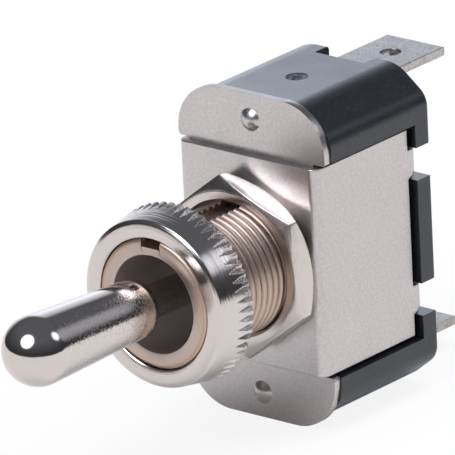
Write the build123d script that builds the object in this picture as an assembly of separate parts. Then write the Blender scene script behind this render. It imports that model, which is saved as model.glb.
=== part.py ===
"""Panel toggle switch, single pole, with a bat handle lever and two blade terminals.

The origin is where the bushing's axis meets the front face of the strap.
-Y points out of the panel along the lever, +Y runs back to the terminals,
and Z runs along the switch body, in the plane that the lever swings in.
All lengths are in millimetres and all angles in degrees.
"""
from build123d import *
from math import acos, atan2, cos, degrees, hypot, pi, radians, sin, sqrt, tan
import os

# Bushing and its thread, whose ridges are rings because the helix's slope is too slight to show
thread_dia = 11.9
thread_pitch = 0.794
thread_depth = 0.4
thread_angle = 60.0
thread_clearance = 0.05
bushing_length = 13.35
bushing_bore = 8.93
bushing_end_chamfer = 0.45
keyway_width = 2.15
keyway_depth = 0.8
spigot_dia = 10.4
stake_overhang = 0.65
stake_thickness = 0.6

# Overall width and height of the moulded base, which the other parts follow
base_width = 16.6
base_height = 29.3

# Strap of folded sheet that holds the base
strap_sheet = 0.8
strap_side_inset = 0.5
strap_height = 19.2
strap_depth = 12.7
bend_inner_radius = 0.15
strap_rear_gap = 0.55
tab_width = 2.7
tab_centre = 6.3
tab_reach = 0.8
tab_chamfer_run = 0.9
tab_chamfer_drop = 0.5

# Cover plate behind the strap
plate_sheet = 0.8
plate_side_inset = 0.1
plate_end_overhang = 0.35
plate_corner_radius = 4.5
plate_inner_corner_radius = 0.35
plate_gap = 0.2
dome_dia = 2.1
dome_height = 0.5
dome_wall = 0.35
dome_centre = 12.65

# Moulded base
floor_thickness = 2.7
shoulder_run = 3.2
shoulder_drop = 2.55
shoulder_top_radius = 3.5
shoulder_side_radius = 2.0
fit_gap = 0.05
recess_gap = 0.35
flange_thickness = 2.05
notch_gap = 0.15
cavity_width = 9.6
end_wall = 1.5
end_cut_width = 5.5
end_cut_depth = 2.0
end_cut_radius = 1.2
rear_edge_radius = 0.4
ejector_mark_dia = 2.0
ejector_mark_depth = 0.08
ejector_mark_setback = 7.4

# Insulator sheet under the plate
insulator_thickness = 0.4
insulator_width = 11.4
insulator_end_wall = 0.95
insulator_hole = 9.2
insulator_corner_radius = 2.5

# Terminals
blade_width = 6.35
blade_thickness = 0.8
blade_length = 9.15
blade_bevel = 0.5
blade_bevel_drop = 0.22
blade_corner_cut = 0.4
blade_hole = 1.85
blade_hole_setback = 4.0
leg_bend_radius = 0.7

# Rivets
rivet_dia = 1.9
rivet_head_dia = 2.8
rivet_head = 0.5
rivet_tail_dia = 2.7
rivet_tail = 0.6
rivet_tail_gap = 0.15
rivet_tail_sink = 0.2
terminal_rivet_inset = 2.55
terminal_rivet_pitch = 3.3

# Contacts and rocker
contact_dia = 2.5
fixed_contact_height = 0.9
moving_contact_height = 0.6
moving_contact_shank = 1.2
contact_gap_closed = 0.05
rocker_thickness = 0.6
rocker_width = 3.6
rocker_end_margin = 1.2
rocker_throw = 9.0
rocker_valley_radius = 2.0
lug_width = 0.9
lug_length = 0.75
lug_clearance = 0.06
cradle_sheet = 0.6
cradle_side_gap = 0.2
cradle_foot = 4.2
cradle_ear = 2.6
cradle_ear_rise = 0.75

# Lever
lever_throw = 13.0
lever_rest_tilt = 1.5
pivot_setback = 1.6
lever_reach = 31.9
handle_tip_radius = 3.17
handle_rim_radius = 2.66
handle_back_gap = 1.55
handle_back_depth = 1.4
neck_radius = 1.5
ball_clearance = 0.265
tail_wall = 0.65
tail_length = 8.6
spring_bore_dia = 3.3
spring_bore_start = 2.2
pin_dia = 2.0
pin_clearance = 0.04
pin_press_gap = 0.01
pin_end_inset = 0.1

# Plunger and its spring
plunger_clearance = 0.05
plunger_shoulder = 5.8
plunger_spigot_dia = 1.8
plunger_spigot = 1.0
plunger_gap = 0.1
spring_wire = 0.4
spring_play = 0.2
spring_turns = 5.0

# Knurled ring nut at the bushing's end
ring_nut_thickness = 3.85
ring_nut_wall = 2.2
ring_nut_taper = 0.55
ring_nut_bevel = 0.48
ring_nut_bevel_depth = 0.45
ring_nut_countersink = 0.1
knurl_length = 1.86
knurl_runout = 1.05
knurl_count = 57
knurl_angle = 94.0

# Hex nut against the strap
hex_nut_edge_gap = 0.5
hex_nut_thickness = 2.72
hex_nut_rear_inset = 0.35
hex_nut_countersink = 0.95
hex_nut_countersink_depth = 0.28
hex_nut_turn = 8.2
nut_seat_gap = 0.05

# Places worked out from the sizes above
thread_radius = thread_dia / 2
nut_bore_radius = thread_radius + thread_clearance
bore_radius = bushing_bore / 2
spigot_radius = spigot_dia / 2
stake_radius = spigot_radius + stake_overhang
base_side = base_width / 2
base_top = base_height / 2
strap_side = base_side - strap_side_inset
strap_top = strap_height / 2
strap_inside = strap_side - strap_sheet
plate_side = base_side - plate_side_inset
plate_top = base_top + plate_end_overhang
plate_front = strap_sheet
plate_back = plate_front + plate_sheet
plate_waist_side = strap_inside - bend_inner_radius
flange_front = strap_depth + strap_rear_gap
tab_back = flange_front + fit_gap + strap_sheet
base_rear = flange_front + flange_thickness
floor_front = base_rear - floor_thickness
core_side = strap_inside - fit_gap
recess_top = strap_top + recess_gap
notch_bottom = strap_inside - tab_reach - notch_gap
notch_low = tab_centre - tab_width / 2 - notch_gap
notch_high = tab_centre + tab_width / 2 + notch_gap
insulator_front = plate_back + stake_thickness + fit_gap
insulator_back = insulator_front + insulator_thickness
pocket_width = insulator_width + 2 * fit_gap
pocket_height = 2 * (base_top - insulator_end_wall)
cavity_top = base_top - end_wall
blade_outer = cavity_top - 2 * fit_gap
blade_inner = blade_outer - blade_thickness
blade_end = base_rear + blade_length
leg_front = floor_front - blade_thickness
terminal_rivet_centre = blade_inner - terminal_rivet_inset
contact_arm = terminal_rivet_centre - terminal_rivet_pitch
rocker_arm = contact_arm + rocker_end_margin
counterbore_radius = rivet_tail_dia / 2 + rivet_tail_gap
counterbore_front = base_rear - rivet_tail - rivet_tail_sink
cradle_front = leg_front - cradle_sheet
half_strip = rocker_thickness / 2
rocker_y = (leg_front - fixed_contact_height - contact_gap_closed
            - moving_contact_height - half_strip)
pivot_y = -pivot_setback
tip_length = lever_reach - pivot_setback
back_length = bushing_length + handle_back_gap - pivot_setback
rim_length = back_length + handle_back_depth
ball_radius = bore_radius - ball_clearance
spring_bore_radius = spring_bore_dia / 2
tail_radius = spring_bore_radius + tail_wall
nose_radius = spring_bore_radius - plunger_clearance
nose_centre = rocker_y - half_strip - plunger_gap - nose_radius - pivot_y
rocker_ratio = rocker_throw / lever_throw
rocker_rest_turn = lever_rest_tilt * rocker_ratio
ring_nut_front = -bushing_length
ring_nut_rear = ring_nut_front + ring_nut_thickness
ring_nut_rear_radius = nut_bore_radius + ring_nut_wall
ring_nut_front_radius = ring_nut_rear_radius - ring_nut_taper
cone_slope = ring_nut_taper / (ring_nut_thickness - ring_nut_bevel_depth)
knurl_pitch = 2 * pi * ring_nut_rear_radius / knurl_count
knurl_depth = knurl_pitch / 2 / tan(radians(knurl_angle / 2))
knurl_front = ring_nut_rear - knurl_length
knurl_full = knurl_front + knurl_runout
hex_nut_half = strap_side - hex_nut_edge_gap
hex_nut_rear_radius = hex_nut_half - hex_nut_rear_inset


def slab(sketch, y_front, y_back):
    """Extrude a sketch drawn in X and Z between two depths."""
    return extrude(Plane.XZ.offset(-y_back) * sketch, amount=y_back - y_front)


def block(x_span, y_span, z_span):
    """Make a box from its lower and upper limits along each axis."""
    size = [span[1] - span[0] for span in (x_span, y_span, z_span)]
    centre = [(span[1] + span[0]) / 2 for span in (x_span, y_span, z_span)]
    return Pos(*centre) * Box(*size)


def rod_along_y(radius, y_front, y_back, x=0.0, z=0.0):
    """Make a round rod along Y."""
    return slab(Pos(x, z) * Circle(radius), y_front, y_back)


def rod_along_x(radius, half_length, y, z=0.0):
    """Make a round rod along X, centred on the middle plane."""
    return Pos(0, y, z) * Rot(0, 90, 0) * Cylinder(radius, 2 * half_length)


def turned(points):
    """Revolve a closed profile of radius and y points about the Y axis."""
    return revolve(make_face(Polyline(*points, close=True)), axis=Axis.Y)


def swing(shape, angle, y):
    """Turn a shape about the X direction through the point at depth y."""
    return Pos(0, y, 0) * Rot(angle, 0, 0) * Pos(0, -y, 0) * shape


def both_ends(shape):
    """Add the mirror image of a shape at the other end of the switch."""
    return shape + mirror(shape, about=Plane.XY)


def nearest_vertex(face, x, y):
    """Find the corner of a sketch nearest to a point."""
    return face.vertices().sort_by_distance((x, y, 0))[0]


def make_bushing():
    """Threaded tube whose spigot is staked over behind the plate."""
    chamfered = thread_radius - bushing_end_chamfer
    stake_back = plate_back + stake_thickness
    body = turned([
        (bore_radius, -bushing_length),
        (chamfered, -bushing_length),
        (thread_radius, -bushing_length + bushing_end_chamfer),
        *thread_grooves(-bushing_length + bushing_end_chamfer, 0),
        (thread_radius, 0),
        (spigot_radius, 0),
        (spigot_radius, plate_back),
        (stake_radius, plate_back),
        (spigot_radius, stake_back),
        (bore_radius, stake_back),
    ])
    keyway_floor = thread_radius - keyway_depth
    keyway = block(
        (-keyway_width / 2, keyway_width / 2),
        (-bushing_length - 1, 0),
        (keyway_floor, thread_radius + 1),
    )
    pin_hole = rod_along_x(pin_dia / 2 + pin_press_gap, thread_radius + 1, pivot_y)
    return body - keyway - pin_hole


def thread_grooves(front, rear):
    """Outline of the V grooves that fit between two places along the bushing."""
    half_mouth = thread_depth * tan(radians(thread_angle / 2))
    count = int((rear - front) / thread_pitch)
    points = []
    for i in range(count):
        middle = rear - (i + 0.5) * thread_pitch
        points += [
            (thread_radius, middle + half_mouth),
            (thread_radius - thread_depth, middle),
            (thread_radius, middle - half_mouth),
        ]
    return points[::-1]


def make_pivot_pin():
    """Cross pin that the lever rocks on, held in the bushing's wall."""
    return rod_along_x(pin_dia / 2, thread_radius - thread_depth - pin_end_inset, pivot_y)


def handle_profile():
    """Draw one side of the lever: radius against distance from the pivot."""
    tip_centre = tip_length - handle_tip_radius
    span = hypot(handle_rim_radius, tip_centre - rim_length)
    lean = atan2(tip_centre - rim_length, handle_rim_radius) - acos(handle_tip_radius / span)
    tangent = (handle_tip_radius * cos(lean), tip_centre - handle_tip_radius * sin(lean))
    half = (radians(90) + lean) / 2 - lean
    middle = (handle_tip_radius * cos(half), tip_centre + handle_tip_radius * sin(half))
    end = (0, tip_length)
    ball_front = sqrt(ball_radius ** 2 - neck_radius ** 2)
    ball_back = -sqrt(ball_radius ** 2 - tail_radius ** 2)
    bore = spring_bore_radius
    return make_face([
        ThreePointArc(tangent, middle, end),
        Line(end, (0, -spring_bore_start)),
        Line((0, -spring_bore_start), (bore, -spring_bore_start)),
        Line((bore, -spring_bore_start), (bore, -tail_length)),
        Line((bore, -tail_length), (tail_radius, -tail_length)),
        Line((tail_radius, -tail_length), (tail_radius, ball_back)),
        ThreePointArc((tail_radius, ball_back), (ball_radius, 0), (neck_radius, ball_front)),
        Line((neck_radius, ball_front), (neck_radius, back_length)),
        EllipticalCenterArc(
            (neck_radius, rim_length),
            handle_rim_radius - neck_radius,
            handle_back_depth,
            start_angle=270,
            arc_size=90,
        ),
        Line((handle_rim_radius, rim_length), tangent),
    ])


def make_lever():
    """Turned lever: bat handle, thin neck, pivot ball and drilled tail."""
    body = revolve(handle_profile(), axis=Axis.Y)
    pin_hole = Rot(0, 90, 0) * Cylinder(pin_dia / 2 + pin_clearance, 3 * ball_radius)
    lever = Pos(0, pivot_y, 0) * Rot(180, 0, 0) * (body - pin_hole)
    return swing(lever, -lever_rest_tilt, pivot_y)


def make_plunger():
    """Moulded plunger with a round nose, sliding in the lever's tail."""
    spigot = plunger_spigot_dia / 2
    nose = (0, nose_centre + nose_radius)
    bend = (nose_radius * cos(radians(45)), nose_centre + nose_radius * sin(radians(45)))
    top = plunger_shoulder - plunger_spigot
    face = make_face([
        Line((0, top), (spigot, top)),
        Line((spigot, top), (spigot, plunger_shoulder)),
        Line((spigot, plunger_shoulder), (nose_radius, plunger_shoulder)),
        Line((nose_radius, plunger_shoulder), (nose_radius, nose_centre)),
        ThreePointArc((nose_radius, nose_centre), bend, nose),
        Line(nose, (0, top)),
    ])
    plunger = Pos(0, pivot_y, 0) * revolve(face, axis=Axis.Y)
    return swing(plunger, -lever_rest_tilt, pivot_y)


def make_toggle_spring():
    """Coil spring behind the plunger, its wire eight-sided to keep the faces few."""
    wire_radius = spring_wire / 2
    coil_radius = spring_bore_radius - spring_play - wire_radius
    free = plunger_shoulder - spring_bore_start - spring_wire
    coil = Helix(
        pitch=free / spring_turns,
        height=free,
        radius=coil_radius,
        center=(0, pivot_y + spring_bore_start + wire_radius, 0),
        direction=(0, 1, 0),
    )
    section = Plane(coil @ 0, z_dir=coil % 0) * RegularPolygon(wire_radius, 8)
    spring = sweep(section, path=coil, is_frenet=True)
    return swing(spring, -lever_rest_tilt, pivot_y)


def make_strap():
    """Folded strap: a front web, two sides and four tabs folded inwards."""
    outer_radius = bend_inner_radius + strap_sheet
    outer = Pos(0, strap_depth / 2) * Rectangle(2 * strap_side, strap_depth)
    corners = outer.vertices().group_by(Axis.Y)[0]
    outer = fillet(corners, outer_radius)
    inside_depth = strap_depth - strap_sheet
    inner = Pos(0, strap_sheet + inside_depth / 2) * Rectangle(2 * strap_inside, inside_depth)
    inner = fillet(inner.vertices().group_by(Axis.Y)[0], bend_inner_radius)
    channel = extrude(Pos(0, 0, -strap_top) * (outer - inner), amount=strap_height)
    hole = rod_along_y(spigot_radius, -1, strap_sheet + 1)
    strap = channel - hole
    for centre in (-tab_centre, tab_centre):
        for side in (-1, 1):
            strap += make_tab(side, centre)
    return strap


def make_tab(side, centre):
    """One strap tab, bent inwards behind the base, with its lower corner cut."""
    low = centre - tab_width / 2
    leg = Pos((strap_inside + strap_side) / 2, (strap_depth + tab_back) / 2)
    leg *= Rectangle(strap_sheet, tab_back - strap_depth)
    foot_inside = strap_inside - tab_reach
    foot = Pos((foot_inside + strap_side) / 2, tab_back - strap_sheet / 2)
    foot *= Rectangle(strap_side - foot_inside, strap_sheet)
    hook = leg + foot
    hook = fillet(nearest_vertex(hook, strap_side, tab_back), bend_inner_radius + strap_sheet)
    inner_corner = nearest_vertex(hook, strap_inside, tab_back - strap_sheet)
    hook = fillet(inner_corner, bend_inner_radius)
    tab = extrude(Pos(0, 0, low) * hook, amount=tab_width)
    chamfer_high = low + tab_chamfer_drop
    corner = make_face(Polyline(
        (strap_depth, low),
        (strap_depth + tab_chamfer_run, chamfer_high),
        (tab_back + 1, chamfer_high),
        (tab_back + 1, low - 1),
        (strap_depth, low - 1),
        close=True,
    ))
    tab -= extrude(Plane.YZ * corner, amount=strap_side + 1)
    return tab if side > 0 else mirror(tab, about=Plane.YZ)


def make_cover_plate():
    """Flat plate with a rounded lobe at each end and a pressed dome in each."""
    outline = RectangleRounded(2 * plate_side, 2 * plate_top, plate_corner_radius)
    waist_height = 2 * (strap_top + plate_gap)
    side_width = plate_side - plate_waist_side
    side = Pos(plate_waist_side + side_width / 2, 0) * Rectangle(side_width, waist_height)
    outline = outline - side - mirror(side, about=Plane.YZ) - Circle(spigot_radius)
    inner_corners = [
        vertex for vertex in outline.vertices()
        if abs(vertex.X) > plate_waist_side + 0.01 and abs(vertex.Y) < waist_height / 2 + 0.01
    ]
    outline = fillet(inner_corners, plate_inner_corner_radius)
    plate = slab(outline, plate_front, plate_back)
    for end in (-1, 1):
        plate = press_dome(plate, end * dome_centre)
    return plate


def press_dome(plate, height):
    """Raise a hollow dome from the plate's front at the given height."""
    cap_radius = ((dome_dia / 2) ** 2 + dome_height ** 2) / (2 * dome_height)
    centre = Pos(0, plate_front + cap_radius - dome_height, height)
    in_front = block(
        (-dome_dia, dome_dia),
        (plate_front - dome_dia, plate_back),
        (height - dome_dia, height + dome_dia),
    )
    cap = centre * Sphere(cap_radius) & in_front
    return plate + cap - centre * Sphere(cap_radius - dome_wall)


def base_outline():
    """Draw the moulding's end view: flat ends with soft sloped shoulders."""
    quarter = [(base_side - shoulder_run, base_top), (base_side, base_top - shoulder_drop)]
    right = quarter + [(x, -z) for x, z in reversed(quarter)]
    left = [(-x, z) for x, z in reversed(right)]
    outline = make_face(Polyline(*(right + left), close=True))
    tops = [v for v in outline.vertices() if abs(abs(v.Y) - base_top) < 0.01]
    outline = fillet(tops, shoulder_top_radius)
    sides = [
        v for v in outline.vertices()
        if abs(abs(v.X) - base_side) < 0.01 and abs(abs(v.Y) - base_top + shoulder_drop) < 0.01
    ]
    return fillet(sides, shoulder_side_radius)


def rivet_places():
    """Heights of the five rivets that go through the floor of the base."""
    return (-terminal_rivet_centre, -contact_arm, 0.0, contact_arm, terminal_rivet_centre)


def make_base():
    """Moulded base: cavity, strap recesses, rear flange and terminal slots."""
    beyond = base_side + 1
    base = slab(base_outline(), plate_back, base_rear)
    recess = block((core_side, beyond), (plate_back - 1, flange_front), (-recess_top, recess_top))
    notch = block((notch_bottom, beyond), (flange_front, base_rear + 1), (notch_low, notch_high))
    right_cuts = recess + both_ends(notch)
    base = base - right_cuts - mirror(right_cuts, about=Plane.YZ)
    base = fillet(rear_side_edges(base), rear_edge_radius)
    pocket = RectangleRounded(pocket_width, pocket_height, insulator_corner_radius)
    base -= slab(pocket, plate_back - 1, insulator_back)
    base -= rod_along_y(stake_radius + fit_gap, plate_back - 1, insulator_front)
    cavity_half = cavity_width / 2
    base -= block((-cavity_half, cavity_half), (plate_back, floor_front), (-cavity_top, cavity_top))
    base -= both_ends(make_end_cut())
    for place in rivet_places():
        base -= rod_along_y(rivet_dia / 2, floor_front - 1, base_rear + 1, z=place)
        base -= rod_along_y(counterbore_radius, counterbore_front, base_rear + 1, z=place)
    mark = Pos(0, ejector_mark_setback, base_top) * Cylinder(ejector_mark_dia / 2, 2 * ejector_mark_depth)
    return base - both_ends(mark)


def rear_side_edges(base):
    """Find the outer edges of the base's rear face, with the notches' corners."""
    rear = base.faces().sort_by(Axis.Y)[-1]
    return [
        edge for edge in rear.outer_wire().edges()
        if abs(abs(edge.center().X) - notch_bottom) > 0.01
    ]


def make_end_cut():
    """Slot for one blade and the cut-out in the end wall above it."""
    slot_half = blade_width / 2 + fit_gap
    slot = block(
        (-slot_half, slot_half),
        (floor_front - 1, base_rear + 1),
        (blade_inner - fit_gap, blade_outer + fit_gap),
    )
    half = end_cut_width / 2
    front = base_rear - end_cut_depth
    cut = block((-half, half), (front, base_rear + 1), (blade_outer, base_top + 1))
    corner = block((half - 0.01, half + end_cut_radius), (base_rear - end_cut_radius, base_rear + 1),
                   (blade_outer, base_top + 1))
    round_post = Pos(half + end_cut_radius, base_rear - end_cut_radius, base_top)
    round_post *= Cylinder(end_cut_radius, 2 * base_top)
    return slot + cut + (corner - round_post)


def make_terminal():
    """Blade terminal at the upper end: tab, bend and leg on the floor."""
    half = blade_width / 2
    outline = make_face(Polyline(
        (-half, leg_front),
        (half, leg_front),
        (half, blade_end - blade_corner_cut),
        (half - blade_corner_cut, blade_end),
        (-half + blade_corner_cut, blade_end),
        (-half, blade_end - blade_corner_cut),
        close=True,
    ))
    outline -= Pos(0, blade_end - blade_hole_setback) * Circle(blade_hole / 2)
    blade = extrude(Pos(0, 0, blade_inner) * outline, amount=blade_thickness)
    wedge = make_face(Polyline(
        (blade_end - blade_bevel, blade_outer),
        (blade_end + 1, blade_outer + 1),
        (blade_end + 1, blade_outer - blade_bevel_drop),
        (blade_end, blade_outer - blade_bevel_drop),
        close=True,
    ))
    bevel = extrude(Plane.YZ.offset(-half - 1) * wedge, amount=blade_width + 2)
    middle = (blade_inner + blade_outer) / 2
    blade -= bevel
    blade -= mirror(bevel, about=Plane.XY.offset(middle))
    return blade


def add_leg(blade, leg_end):
    """Add the leg that lies on the floor, down to the given height."""
    half = blade_width / 2
    leg = block((-half, half), (leg_front, floor_front), (leg_end, blade_outer))
    terminal = blade + leg
    bend = terminal.edges().filter_by(Axis.X).sort_by_distance((0, leg_front, blade_outer))[0]
    return fillet(bend, leg_bend_radius)


def drill_leg(terminal, places):
    """Drill the rivet holes through a terminal's leg."""
    for place in places:
        terminal -= rod_along_y(rivet_dia / 2, leg_front - 1, floor_front + 1, z=place)
    return terminal


def make_upper_terminal():
    """Terminal that carries the cradle, so its leg reaches past the middle."""
    terminal = add_leg(make_terminal(), -cradle_foot / 2)
    return drill_leg(terminal, (0.0, contact_arm, terminal_rivet_centre))


def make_lower_terminal():
    """Terminal that carries the fixed contact."""
    terminal = add_leg(make_terminal(), contact_arm - rivet_head_dia / 2 - 2 * fit_gap)
    terminal = drill_leg(terminal, (contact_arm, terminal_rivet_centre))
    return mirror(terminal, about=Plane.XY)


def make_rivet(place, seat, head_height, head_dia):
    """Solid rivet through the floor, with its tail upset in the counterbore."""
    tail_back = counterbore_front + rivet_tail
    rivet = rod_along_y(rivet_dia / 2, seat, counterbore_front, z=place)
    rivet += rod_along_y(head_dia / 2, seat - head_height, seat, z=place)
    rivet += rod_along_y(rivet_tail_dia / 2, counterbore_front, tail_back, z=place)
    return rivet


def make_cradle():
    """Folded cradle whose two notched ears carry the rocker's lugs."""
    ear_inside = rocker_width / 2 + cradle_side_gap
    ear_outside = ear_inside + cradle_sheet
    foot_half = cradle_foot / 2
    ear_half = cradle_ear / 2
    foot = block((-ear_outside, ear_outside), (cradle_front, leg_front), (-foot_half, foot_half))
    ear = block((ear_inside, ear_outside), (rocker_y - cradle_ear_rise, leg_front), (-ear_half, ear_half))
    cradle = foot + ear + mirror(ear, about=Plane.YZ)
    seat_radius = hypot(lug_width, rocker_thickness) / 2 + lug_clearance
    cradle -= rod_along_x(seat_radius, ear_outside + 1, rocker_y)
    cradle -= block((-ear_outside - 1, ear_outside + 1), (rocker_y - 2 * cradle_ear_rise, rocker_y),
                    (-seat_radius, seat_radius))
    return cradle - rod_along_y(rivet_dia / 2, cradle_front - 1, leg_front + 1)


def place_rocker(shape, angle):
    """Turn a piece of the rocker about its pivot."""
    return Pos(0, rocker_y, 0) * Rot(angle, 0, 0) * shape


def make_contact_rocker():
    """Strip bent to a shallow V that tips from one side to the other."""
    rise = tan(radians(rocker_throw))
    half = half_strip / cos(radians(rocker_throw))
    outline = make_face(Polyline(
        (-rocker_arm * rise - half, -rocker_arm),
        (-half, 0),
        (-rocker_arm * rise - half, rocker_arm),
        (-rocker_arm * rise + half, rocker_arm),
        (half, 0),
        (-rocker_arm * rise + half, -rocker_arm),
        close=True,
    ))
    outline = fillet(nearest_vertex(outline, -half, 0), rocker_valley_radius)
    outline = fillet(nearest_vertex(outline, half, 0), rocker_valley_radius + rocker_thickness)
    strip = extrude(Plane.YZ.offset(-rocker_width / 2) * outline, amount=rocker_width)
    lug_reach = rocker_width / 2 + lug_length
    lugs = block((-lug_reach, lug_reach), (-half_strip, half_strip), (-lug_width / 2, lug_width / 2))
    hole = Pos(0, 0, -contact_arm) * Rot(90, 0, 0) * Cylinder(moving_contact_shank / 2, 2)
    strip -= Rot(-rocker_throw, 0, 0) * hole
    return place_rocker(strip + lugs, rocker_rest_turn)


def make_moving_contact():
    """Silver button riveted through the rocker's lower arm."""
    shank = moving_contact_shank / 2
    head = half_strip + moving_contact_height
    button = rod_along_y(contact_dia / 2, half_strip, head, z=-contact_arm)
    button += rod_along_y(shank, -half_strip, half_strip, z=-contact_arm)
    button += rod_along_y(1.5 * shank, -head + moving_contact_height / 2, -half_strip, z=-contact_arm)
    return place_rocker(button, rocker_rest_turn - rocker_throw)


def make_insulator():
    """Fibre sheet between the plate and the moving parts."""
    height = pocket_height - 2 * fit_gap
    sheet = RectangleRounded(insulator_width, height, insulator_corner_radius - fit_gap)
    return slab(sheet - Circle(insulator_hole / 2), insulator_front, insulator_back)


def make_ring_nut():
    """Round nut with a tapered front, whose rear is knurled to sharp teeth."""
    blank = turned([
        (nut_bore_radius + ring_nut_countersink, ring_nut_front),
        (ring_nut_front_radius - ring_nut_bevel, ring_nut_front),
        (ring_nut_front_radius, ring_nut_front + ring_nut_bevel_depth),
        (ring_nut_rear_radius, ring_nut_rear),
        (nut_bore_radius, ring_nut_rear),
        (nut_bore_radius, ring_nut_front + ring_nut_countersink),
    ])
    runout = knurl_cutter(knurl_front, knurl_full, 0, knurl_depth)
    full = knurl_cutter(knurl_full, ring_nut_rear, knurl_depth, knurl_depth)
    groove = runout + full
    return blank - [Rot(0, 360.0 / knurl_count * i, 0) * groove for i in range(knurl_count)]


def knurl_cutter(front, rear, front_depth, rear_depth):
    """V cutter whose root goes from one depth under the nut's cone to another."""
    roots = [
        ring_nut_rear_radius - cone_slope * (ring_nut_rear - y) - depth
        for y, depth in ((front, front_depth), (rear, rear_depth))
    ]
    lean = atan2(roots[1] - roots[0], rear - front)
    height = knurl_pitch / cos(lean)
    mouth = height * cos(lean) * tan(radians(knurl_angle / 2))
    groove = make_face(Polyline((0, 0), (mouth, height), (-mouth, height), close=True))
    length = rear - front
    prism = Rot(degrees(lean), 0, 0) * slab(groove, -length, 2 * length)
    beyond = ring_nut_rear_radius + knurl_pitch
    return Pos(0, front, roots[0]) * prism & block((-beyond, beyond), (front, rear), (0, beyond))


def make_hex_nut():
    """Hex nut with its chamfered corners against the strap."""
    rear = -nut_seat_gap
    front = rear - hex_nut_thickness
    hexagon = RegularPolygon(hex_nut_half, 6, major_radius=False, rotation=30 + hex_nut_turn)
    nut = slab(hexagon, front, rear)
    cone = turned([
        (0, front),
        (hex_nut_rear_radius + hex_nut_thickness, front),
        (hex_nut_rear_radius, rear),
        (0, rear),
    ])
    nut &= cone
    nut -= rod_along_y(nut_bore_radius, front - 1, rear + 1)
    mouth = turned([
        (0, front),
        (nut_bore_radius + hex_nut_countersink, front),
        (nut_bore_radius, front + hex_nut_countersink_depth),
        (0, front + hex_nut_countersink_depth),
    ])
    return nut - mouth


def make_nodes():
    """Build every piece, by node name."""
    terminal_rivet = (leg_front, rivet_head, rivet_head_dia)
    stop_height = fixed_contact_height + moving_contact_height
    return {
        "bushing": make_bushing(),
        "pivot_pin": make_pivot_pin(),
        "lever": make_lever(),
        "plunger": make_plunger(),
        "toggle_spring": make_toggle_spring(),
        "strap": make_strap(),
        "cover_plate": make_cover_plate(),
        "base": make_base(),
        "insulator": make_insulator(),
        "upper_terminal": make_upper_terminal(),
        "lower_terminal": make_lower_terminal(),
        "upper_terminal_rivet": make_rivet(terminal_rivet_centre, *terminal_rivet),
        "lower_terminal_rivet": make_rivet(-terminal_rivet_centre, *terminal_rivet),
        "cradle_rivet": make_rivet(0.0, cradle_front, rivet_head, rivet_head_dia),
        "stop_rivet": make_rivet(contact_arm, leg_front, stop_height, contact_dia),
        "fixed_contact": make_rivet(-contact_arm, leg_front, fixed_contact_height, contact_dia),
        "moving_contact": make_moving_contact(),
        "rocker_cradle": make_cradle(),
        "contact_rocker": make_contact_rocker(),
        "ring_nut": make_ring_nut(),
        "hex_nut": make_hex_nut(),
    }


os.makedirs("parts", exist_ok=True)
for name, shape in make_nodes().items():
    shape.label = name
    export_step(shape, f"parts/{name}.step")
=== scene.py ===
"""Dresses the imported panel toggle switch: cut thread, knurl, plated metal, moulded base and a studio.

Run as a script, it registers its operators, calls them in order and leaves the finished scene.
"""

from math import acos, asin, atan2, cos, hypot, pi, radians, sin, sqrt, tan

import bmesh
import bpy
import numpy as np
from bpy.props import FloatProperty, FloatVectorProperty, IntProperty, PointerProperty
from bpy.types import NodeSocket, Operator, Panel, PropertyGroup
from mathutils import Matrix, Vector


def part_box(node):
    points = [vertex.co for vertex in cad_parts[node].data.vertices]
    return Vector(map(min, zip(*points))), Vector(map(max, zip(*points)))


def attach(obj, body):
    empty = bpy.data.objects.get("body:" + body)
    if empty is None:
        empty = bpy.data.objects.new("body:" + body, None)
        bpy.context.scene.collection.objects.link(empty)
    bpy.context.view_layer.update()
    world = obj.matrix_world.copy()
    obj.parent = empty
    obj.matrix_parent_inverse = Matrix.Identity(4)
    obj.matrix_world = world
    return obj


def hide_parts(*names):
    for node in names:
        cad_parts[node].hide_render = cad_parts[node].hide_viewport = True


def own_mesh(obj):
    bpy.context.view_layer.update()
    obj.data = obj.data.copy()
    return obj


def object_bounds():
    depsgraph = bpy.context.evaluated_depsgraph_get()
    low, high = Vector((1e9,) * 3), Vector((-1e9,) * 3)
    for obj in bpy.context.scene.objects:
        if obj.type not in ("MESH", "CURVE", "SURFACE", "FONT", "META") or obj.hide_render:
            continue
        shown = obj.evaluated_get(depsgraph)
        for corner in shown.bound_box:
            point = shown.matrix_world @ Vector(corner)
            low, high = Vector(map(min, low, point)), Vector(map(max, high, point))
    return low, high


bl_info = {
    "name": "Panel Toggle Switch",
    "version": (1, 0, 0),
    "blender": (4, 5, 0),
    "location": "View3D > Sidebar > Toggle Switch",
    "description": "Threads, knurls and finishes for a packed panel toggle switch",
    "category": "Object",
}

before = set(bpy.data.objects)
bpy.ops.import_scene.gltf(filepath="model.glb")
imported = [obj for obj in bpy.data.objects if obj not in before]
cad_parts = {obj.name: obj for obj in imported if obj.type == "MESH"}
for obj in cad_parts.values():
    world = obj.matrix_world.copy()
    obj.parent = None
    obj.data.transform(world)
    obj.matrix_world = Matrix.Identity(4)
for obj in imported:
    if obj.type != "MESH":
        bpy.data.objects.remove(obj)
CAD_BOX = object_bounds()

MM = 0.001
TURN = 2 * pi

# How far behind the strap's front the lever's pivot lies, in millimetres
PIVOT_SETBACK = 1.6


def linear(code):
    """Turn an sRGB hex code into a linear colour, by the standard's two-part curve."""
    values = np.array([int(code[i:i + 2], 16) for i in (0, 2, 4)]) / 255
    curve = np.where(values <= 0.04045, values / 12.92, ((values + 0.055) / 1.055) ** 2.4)
    return tuple(float(value) for value in curve)


def node_span(node, axis):
    """Lowest and highest place of a CAD node along one axis, in millimetres."""
    low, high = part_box(node)
    return low[axis] / MM, high[axis] / MM


# ---- Sizes and colours a user may change


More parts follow.
